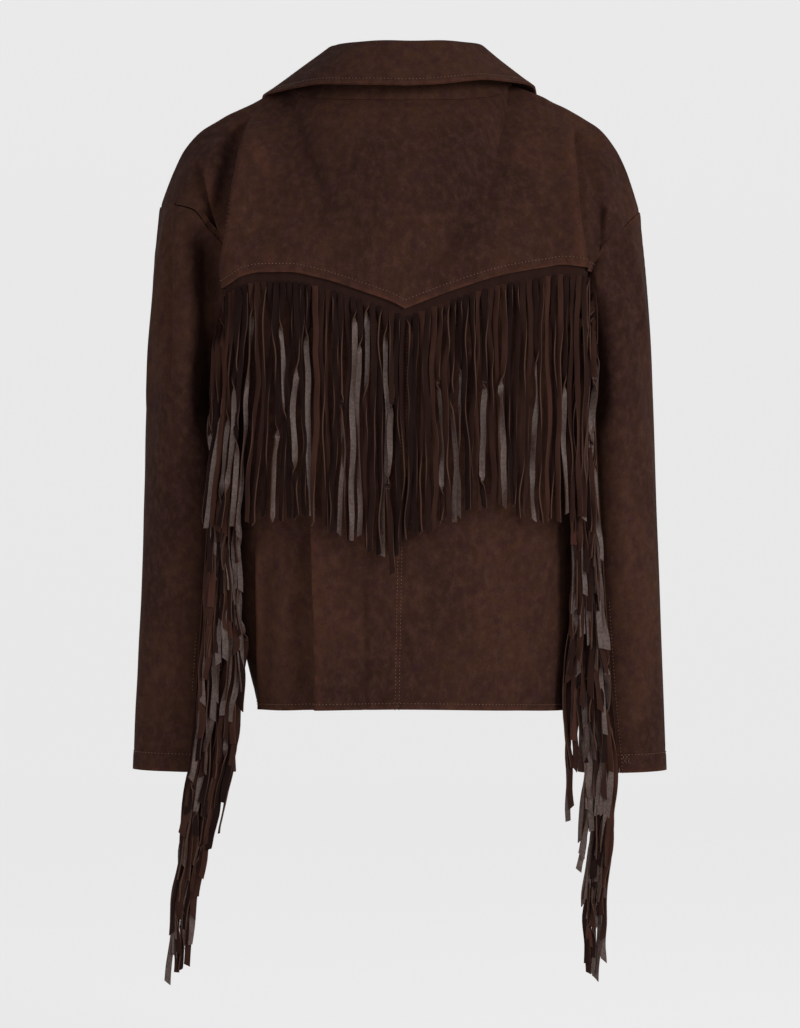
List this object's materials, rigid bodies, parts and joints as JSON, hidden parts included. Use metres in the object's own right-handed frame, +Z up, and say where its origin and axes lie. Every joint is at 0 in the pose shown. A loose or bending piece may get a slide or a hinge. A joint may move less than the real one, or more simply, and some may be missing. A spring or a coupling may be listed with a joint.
{
  "type": "fringed suede jacket, filled out with no wearer",
  "caption": "Boxy suede jacket with a pointed back yoke, hollow and open at neck, hem and cuffs, with long cut fringe under the yoke and down each back sleeve seam.",
  "frame": {"origin": "middle of the neck opening, at the height of the neck seam, where a wearer's neck and shoulders hold the jacket", "axes": "+Z up, the jacket's back faces -Y, its fronts face +Y, and +X is the wearer's right"},
  "size_m": [0.5322, 0.2696, 0.9361],
  "materials": {
    "suede": "napped dark brown suede, matt",
    "suede_fringe": "cut suede strands, matt nap with a slightly shiny grain side",
    "button": "dark horn look, softly polished"
  },
  "bodies": {
    "root": {"yoke_back": "suede", "back_left": "suede", "back_right": "suede", "front_left": "suede", "front_right": "suede", "sleeve_top_left": "suede", "sleeve_top_right": "suede", "sleeve_under_left": "suede", "sleeve_under_right": "suede", "collar": "suede", "fringe_back": "suede_fringe", "fringe_sleeve_left": "suede_fringe", "fringe_sleeve_right": "suede_fringe", "button_1": "button", "button_2": "button", "button_3": "button", "button_4": "button", "button_5": "button"}
  },
  "joints": []
}
